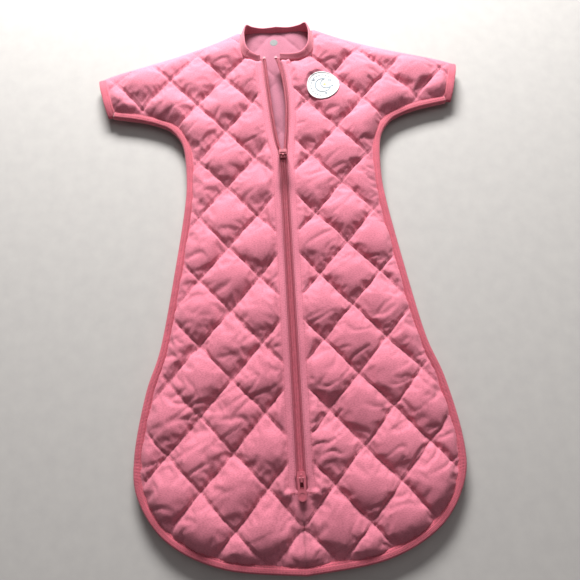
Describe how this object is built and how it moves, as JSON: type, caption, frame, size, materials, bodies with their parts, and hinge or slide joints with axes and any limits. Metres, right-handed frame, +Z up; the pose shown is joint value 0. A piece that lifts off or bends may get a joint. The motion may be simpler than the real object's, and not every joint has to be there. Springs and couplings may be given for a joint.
{
  "type": "baby sleeping bag",
  "caption": "Quilted baby sleeping bag with short sleeves, a rounded hem and a two-way front zip whose upper slider opens folding lapels.",
  "frame": {"origin": "under the middle of the bag, on the surface that its back lies on", "axes": "+Y from the hem to the neck, +Z up from the back to the zip, +X to the right as seen from above with the neck at the top"},
  "size_m": [0.5, 0.708, 0.0461],
  "materials": {
    "jersey": "heathered dusty rose cotton jersey, matt",
    "lining": "plain dusty rose cotton jersey, matt",
    "batting": "white polyester wadding",
    "binding": "deeper rose rib knit with twin stitching",
    "zip_tape": "woven polyester tape",
    "zip_coil": "semi-gloss nylon coil",
    "zip_metal": "gloss rose enamel",
    "patch": "soft white printed patch",
    "label": "pale grey heat-transfer dot"
  },
  "bodies": {
    "bag": {"back_shell": "jersey", "back_batting": "batting", "back_lining": "lining", "left_front_shell": "jersey", "left_front_batting": "batting", "left_front_lining": "lining", "right_front_shell": "jersey", "right_front_batting": "batting", "right_front_lining": "lining", "side_and_hem_binding": "binding", "left_cuff_band": "binding", "right_cuff_band": "binding", "neck_band": "binding", "left_zip_tape": "zip_tape", "right_zip_tape": "zip_tape", "left_zip_coil": "zip_coil", "right_zip_coil": "zip_coil", "bottom_stop": "zip_metal", "chest_patch": "patch", "neck_label": "label"},
    "left_lapel": {"left_lapel_shell": "jersey", "left_lapel_batting": "batting", "left_lapel_lining": "lining", "left_lapel_zip_tape": "zip_tape", "left_lapel_zip_coil": "zip_coil", "left_neck_band_end": "binding", "left_top_stop": "zip_metal"},
    "right_lapel": {"right_lapel_shell": "jersey", "right_lapel_batting": "batting", "right_lapel_lining": "lining", "right_lapel_zip_tape": "zip_tape", "right_lapel_zip_coil": "zip_coil", "right_neck_band_end": "binding", "right_top_stop": "zip_metal"},
    "upper_slider": {"upper_slider": "zip_metal"},
    "upper_pull": {"upper_pull": "zip_metal"},
    "lower_slider": {"lower_slider": "zip_metal"},
    "lower_pull": {"lower_pull": "zip_metal"}
  },
  "joints": [
    {"name": "upper_slide", "type": "slide", "parent": "bag", "child": "upper_slider", "axis": [0, -1, 0], "range_m": [0, 0.28], "deforming": ["left_lapel_zip_coil", "left_lapel_zip_tape", "right_lapel_zip_coil", "right_lapel_zip_tape", "left_zip_coil", "left_zip_tape", "right_zip_coil", "right_zip_tape"]},
    {"name": "upper_pull_swing", "type": "hinge", "parent": "upper_slider", "child": "upper_pull", "pos_m": [0, 0.145, 0.02495], "axis": [-1, 0, 0], "range_deg": [-60, 110]},
    {"name": "lower_slide", "type": "slide", "parent": "bag", "child": "lower_slider", "axis": [0, 1, 0], "range_m": [0, 0.085]},
    {"name": "lower_pull_swing", "type": "hinge", "parent": "lower_slider", "child": "lower_pull", "pos_m": [0, -0.252, 0.02495], "axis": [-1, 0, 0], "range_deg": [0, 150]},
    {"name": "left_lapel_fold", "type": "hinge", "parent": "bag", "child": "left_lapel", "pos_m": [-0.0065, -0.129, 0.0235], "axis": [0.0709, -0.9975, 0], "range_deg": [0, 160]},
    {"name": "right_lapel_fold", "type": "hinge", "parent": "bag", "child": "right_lapel", "pos_m": [0.0065, -0.129, 0.0235], "axis": [0.0709, 0.9975, 0], "range_deg": [0, 160]}
  ],
  "couplings": [
    {"joint": "left_lapel_fold", "follows": "upper_slide", "rad_per_m": 9.9723},
    {"joint": "right_lapel_fold", "follows": "upper_slide", "rad_per_m": 9.9723}
  ]
}
